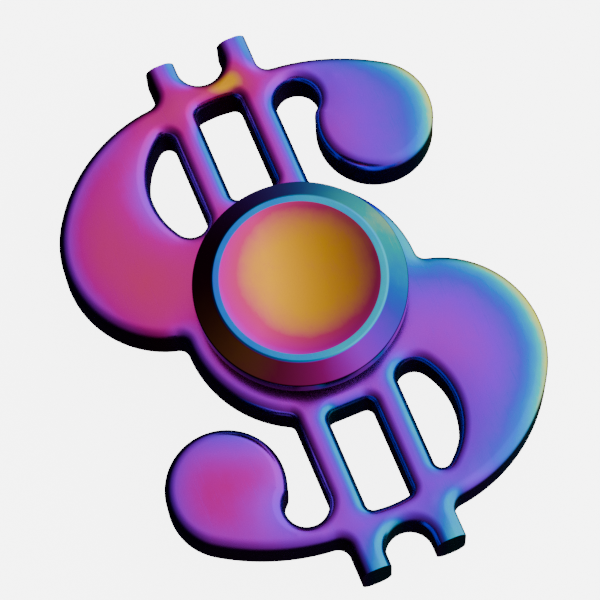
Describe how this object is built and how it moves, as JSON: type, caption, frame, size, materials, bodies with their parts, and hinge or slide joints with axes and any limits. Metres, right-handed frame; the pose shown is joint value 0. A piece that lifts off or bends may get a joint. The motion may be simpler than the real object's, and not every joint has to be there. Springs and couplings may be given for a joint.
{
  "type": "fidget spinner",
  "caption": "Fidget spinner: a rainbow-plated metal plate shaped as an S crossed by two bars, turning on a ball bearing between dished finger caps.",
  "frame": {"origin": "on the spin axis, at the mid-plane of the plate and the bearing, which is the centre of the whole object", "axes": "+Z along the spin axis, out of the upper finger cap; +Y along the two bars of the S, towards the tips whose bowl lies at -X; +X to the right as seen from above"},
  "size_m": [0.0474, 0.065, 0.0192],
  "materials": {
    "oil_slick_plate": "zinc alloy, polished satin, rainbow vapour-deposited coating from gold and rose through violet and blue to cyan and yellow-green",
    "oil_slick_cap": "mirror-polished, rainbow vapour-deposited coating, gold and magenta in the dish and teal on the rim",
    "bearing_steel": "ground and polished bearing steel",
    "ball_steel": "mirror-lapped bearing balls",
    "cage_steel": "pressed sheet steel, satin",
    "shield_steel": "pressed sheet steel with fine turning marks",
    "clip_steel": "spring wire",
    "washer_steel": "stamped shim steel",
    "screw_steel": "black oxide set screw"
  },
  "bodies": {
    "hub": {"upper_finger_cap": "oil_slick_cap", "lower_finger_cap": "oil_slick_cap", "cap_screw": "screw_steel", "upper_spacer_washer": "washer_steel", "lower_spacer_washer": "washer_steel", "bearing_inner_ring": "bearing_steel"},
    "rotor": {"spinner_body": "oil_slick_plate", "bearing_outer_ring": "bearing_steel", "upper_shield": "shield_steel", "lower_shield": "shield_steel", "upper_shield_clip": "clip_steel", "lower_shield_clip": "clip_steel"},
    "cage": {"upper_cage": "cage_steel", "lower_cage": "cage_steel", "cage_rivets": "cage_steel"},
    "ball_1": {"ball_1": "ball_steel"},
    "ball_2": {"ball_2": "ball_steel"},
    "ball_3": {"ball_3": "ball_steel"},
    "ball_4": {"ball_4": "ball_steel"},
    "ball_5": {"ball_5": "ball_steel"},
    "ball_6": {"ball_6": "ball_steel"},
    "ball_7": {"ball_7": "ball_steel"}
  },
  "joints": [
    {"name": "rotor_spin", "type": "hinge", "parent": "hub", "child": "rotor", "pos_m": [0, 0, 0], "axis": [0, 0, 1], "continuous": true},
    {"name": "cage_spin", "type": "hinge", "parent": "hub", "child": "cage", "pos_m": [0, 0, 0], "axis": [0, 0, 1], "continuous": true},
    {"name": "ball_1_spin", "type": "hinge", "parent": "cage", "child": "ball_1", "pos_m": [0.0075, 0, 0], "axis": [0, 0, 1], "continuous": true},
    {"name": "ball_2_spin", "type": "hinge", "parent": "cage", "child": "ball_2", "pos_m": [0.00468, 0.00586, 0], "axis": [0, 0, 1], "continuous": true},
    {"name": "ball_3_spin", "type": "hinge", "parent": "cage", "child": "ball_3", "pos_m": [-0.00167, 0.00731, 0], "axis": [0, 0, 1], "continuous": true},
    {"name": "ball_4_spin", "type": "hinge", "parent": "cage", "child": "ball_4", "pos_m": [-0.00676, 0.00325, 0], "axis": [0, 0, 1], "continuous": true},
    {"name": "ball_5_spin", "type": "hinge", "parent": "cage", "child": "ball_5", "pos_m": [-0.00676, -0.00325, 0], "axis": [0, 0, 1], "continuous": true},
    {"name": "ball_6_spin", "type": "hinge", "parent": "cage", "child": "ball_6", "pos_m": [-0.00167, -0.00731, 0], "axis": [0, 0, 1], "continuous": true},
    {"name": "ball_7_spin", "type": "hinge", "parent": "cage", "child": "ball_7", "pos_m": [0.00468, -0.00586, 0], "axis": [0, 0, 1], "continuous": true}
  ],
  "couplings": [
    {"joint": "cage_spin", "follows": "rotor_spin", "ratio": 0.6323},
    {"joint": "ball_1_spin", "follows": "rotor_spin", "ratio": 1.7573},
    {"joint": "ball_2_spin", "follows": "rotor_spin", "ratio": 1.7573},
    {"joint": "ball_3_spin", "follows": "rotor_spin", "ratio": 1.7573},
    {"joint": "ball_4_spin", "follows": "rotor_spin", "ratio": 1.7573},
    {"joint": "ball_5_spin", "follows": "rotor_spin", "ratio": 1.7573},
    {"joint": "ball_6_spin", "follows": "rotor_spin", "ratio": 1.7573},
    {"joint": "ball_7_spin", "follows": "rotor_spin", "ratio": 1.7573}
  ]
}
